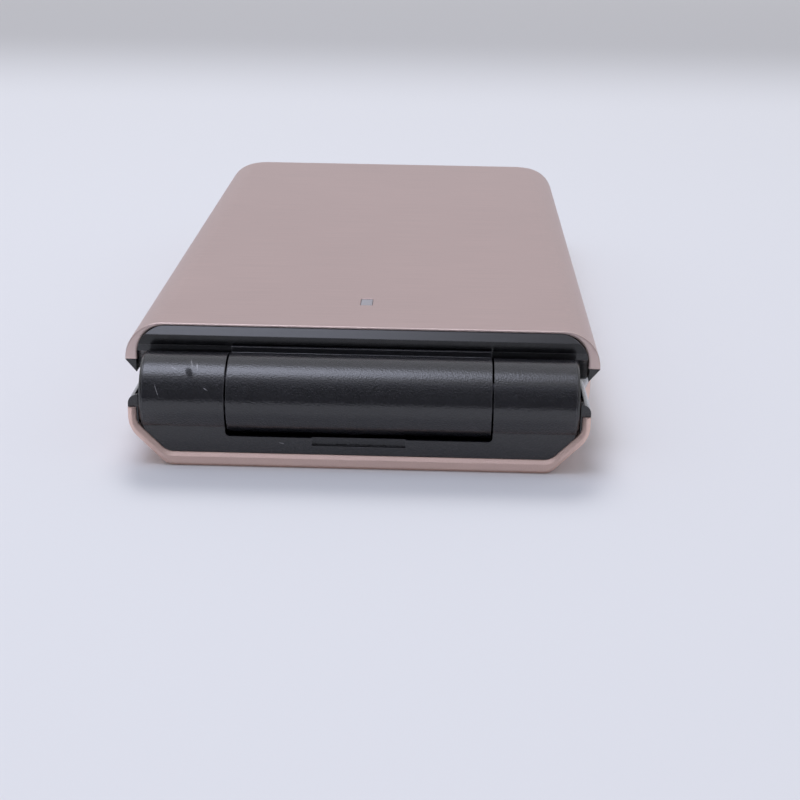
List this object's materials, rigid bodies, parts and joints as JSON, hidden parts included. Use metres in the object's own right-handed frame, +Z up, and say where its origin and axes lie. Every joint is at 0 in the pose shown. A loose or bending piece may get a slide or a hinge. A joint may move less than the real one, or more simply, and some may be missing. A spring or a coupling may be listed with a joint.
{
  "type": "flip phone",
  "caption": "Closed clamshell mobile phone with a rose-gold metal lid, black split hinge barrel, keypad inside and a metal battery cover.",
  "frame": {"origin": "on the table under the middle of the closed phone's box", "axes": "+Y from the hinge end to the far end, +Z up through the lid, X across the phone along the hinge axis"},
  "size_m": [0.06, 0.12, 0.016],
  "materials": {
    "rose_metal": "satin rose-gold anodised, finely brushed",
    "black_plastic": "black textured semi-gloss moulding",
    "gloss_black": "smooth glossy black",
    "keypad_plate": "satin dark grey",
    "key_caps": "satin dark key caps with light numerals",
    "ring_metal": "rose-gold ring",
    "circuit_board": "green solder mask",
    "steel": "plain spring steel",
    "screw_steel": "black zinc",
    "battery_wrap": "dark grey film wrap",
    "module_black": "matt black module housing",
    "window_glass": "dark backed cover glass",
    "clear_plastic": "milky clear moulding",
    "display": "dark display panel",
    "flex_film": "amber polyimide film",
    "rubber": "black rubber"
  },
  "bodies": {
    "base": {"base_frame": "black_plastic", "battery_cover": "rose_metal", "keypad_plate": "keypad_plate", "main_board": "circuit_board", "shield_can": "steel", "dome_sheet": "steel", "battery_pack": "battery_wrap", "battery_contacts": "black_plastic", "rear_camera": "module_black", "camera_window": "window_glass", "flash_window": "clear_plastic", "card_reader": "steel", "loudspeaker": "module_black", "vibration_motor": "steel", "usb_socket": "steel", "headset_socket": "module_black", "base_screws": "screw_steel", "left_hinge_cap": "gloss_black", "right_hinge_cap": "gloss_black", "pivot_sleeve": "steel", "hinge_shaft": "steel"},
    "lid": {"lid_cover": "rose_metal", "lid_frame": "black_plastic", "lid_end_trim": "gloss_black", "status_window": "clear_plastic", "display_glass": "window_glass", "display_panel": "display", "display_bracket": "steel", "lid_board": "circuit_board", "earpiece": "module_black", "earpiece_mesh": "steel", "front_camera": "module_black", "display_flex": "flex_film", "lid_bumpers": "rubber", "lid_screws": "screw_steel", "hinge_case": "steel", "follower_cam": "steel", "hinge_spring": "steel"},
    "key_1": {"key_1": "key_caps"},
    "key_2": {"key_2": "key_caps"},
    "key_3": {"key_3": "key_caps"},
    "key_4": {"key_4": "key_caps"},
    "key_5": {"key_5": "key_caps"},
    "key_6": {"key_6": "key_caps"},
    "key_7": {"key_7": "key_caps"},
    "key_8": {"key_8": "key_caps"},
    "key_9": {"key_9": "key_caps"},
    "key_star": {"key_star": "key_caps"},
    "key_0": {"key_0": "key_caps"},
    "key_hash": {"key_hash": "key_caps"},
    "call_key": {"call_key": "key_caps"},
    "clear_key": {"clear_key": "key_caps"},
    "end_key": {"end_key": "key_caps"},
    "left_soft_key": {"left_soft_key": "key_caps"},
    "right_soft_key": {"right_soft_key": "key_caps"},
    "navigation_ring": {"navigation_ring": "ring_metal"},
    "ok_key": {"ok_key": "key_caps"},
    "volume_key": {"volume_key": "rose_metal"},
    "power_key": {"power_key": "rose_metal"}
  },
  "joints": [
    {"name": "lid_hinge", "type": "hinge", "parent": "base", "child": "lid", "pos_m": [0, -0.0549, 0.0081], "axis": [1, 0, 0], "range_deg": [0, 150]},
    {"name": "key_1_press", "type": "slide", "parent": "base", "child": "key_1", "axis": [0, 0, -1], "range_m": [0, 0.0003], "stiffness_N_per_m": 3000},
    {"name": "key_2_press", "type": "slide", "parent": "base", "child": "key_2", "axis": [0, 0, -1], "range_m": [0, 0.0003], "stiffness_N_per_m": 3000},
    {"name": "key_3_press", "type": "slide", "parent": "base", "child": "key_3", "axis": [0, 0, -1], "range_m": [0, 0.0003], "stiffness_N_per_m": 3000},
    {"name": "key_4_press", "type": "slide", "parent": "base", "child": "key_4", "axis": [0, 0, -1], "range_m": [0, 0.0003], "stiffness_N_per_m": 3000},
    {"name": "key_5_press", "type": "slide", "parent": "base", "child": "key_5", "axis": [0, 0, -1], "range_m": [0, 0.0003], "stiffness_N_per_m": 3000},
    {"name": "key_6_press", "type": "slide", "parent": "base", "child": "key_6", "axis": [0, 0, -1], "range_m": [0, 0.0003], "stiffness_N_per_m": 3000},
    {"name": "key_7_press", "type": "slide", "parent": "base", "child": "key_7", "axis": [0, 0, -1], "range_m": [0, 0.0003], "stiffness_N_per_m": 3000},
    {"name": "key_8_press", "type": "slide", "parent": "base", "child": "key_8", "axis": [0, 0, -1], "range_m": [0, 0.0003], "stiffness_N_per_m": 3000},
    {"name": "key_9_press", "type": "slide", "parent": "base", "child": "key_9", "axis": [0, 0, -1], "range_m": [0, 0.0003], "stiffness_N_per_m": 3000},
    {"name": "key_star_press", "type": "slide", "parent": "base", "child": "key_star", "axis": [0, 0, -1], "range_m": [0, 0.0003], "stiffness_N_per_m": 3000},
    {"name": "key_0_press", "type": "slide", "parent": "base", "child": "key_0", "axis": [0, 0, -1], "range_m": [0, 0.0003], "stiffness_N_per_m": 3000},
    {"name": "key_hash_press", "type": "slide", "parent": "base", "child": "key_hash", "axis": [0, 0, -1], "range_m": [0, 0.0003], "stiffness_N_per_m": 3000},
    {"name": "call_key_press", "type": "slide", "parent": "base", "child": "call_key", "axis": [0, 0, -1], "range_m": [0, 0.0003], "stiffness_N_per_m": 3000},
    {"name": "clear_key_press", "type": "slide", "parent": "base", "child": "clear_key", "axis": [0, 0, -1], "range_m": [0, 0.0003], "stiffness_N_per_m": 3000},
    {"name": "end_key_press", "type": "slide", "parent": "base", "child": "end_key", "axis": [0, 0, -1], "range_m": [0, 0.0003], "stiffness_N_per_m": 3000},
    {"name": "left_soft_key_press", "type": "slide", "parent": "base", "child": "left_soft_key", "axis": [0, 0, -1], "range_m": [0, 0.0003], "stiffness_N_per_m": 3000},
    {"name": "right_soft_key_press", "type": "slide", "parent": "base", "child": "right_soft_key", "axis": [0, 0, -1], "range_m": [0, 0.0003], "stiffness_N_per_m": 3000},
    {"name": "navigation_ring_press", "type": "slide", "parent": "base", "child": "navigation_ring", "axis": [0, 0, -1], "range_m": [0, 0.0003], "stiffness_N_per_m": 3000},
    {"name": "ok_key_press", "type": "slide", "parent": "base", "child": "ok_key", "axis": [0, 0, -1], "range_m": [0, 0.0003], "stiffness_N_per_m": 3000},
    {"name": "volume_key_press", "type": "slide", "parent": "base", "child": "volume_key", "axis": [1, 0, 0], "range_m": [0, 0.0003], "stiffness_N_per_m": 3500},
    {"name": "power_key_press", "type": "slide", "parent": "base", "child": "power_key", "axis": [-1, 0, 0], "range_m": [0, 0.0003], "stiffness_N_per_m": 3500}
  ]
}
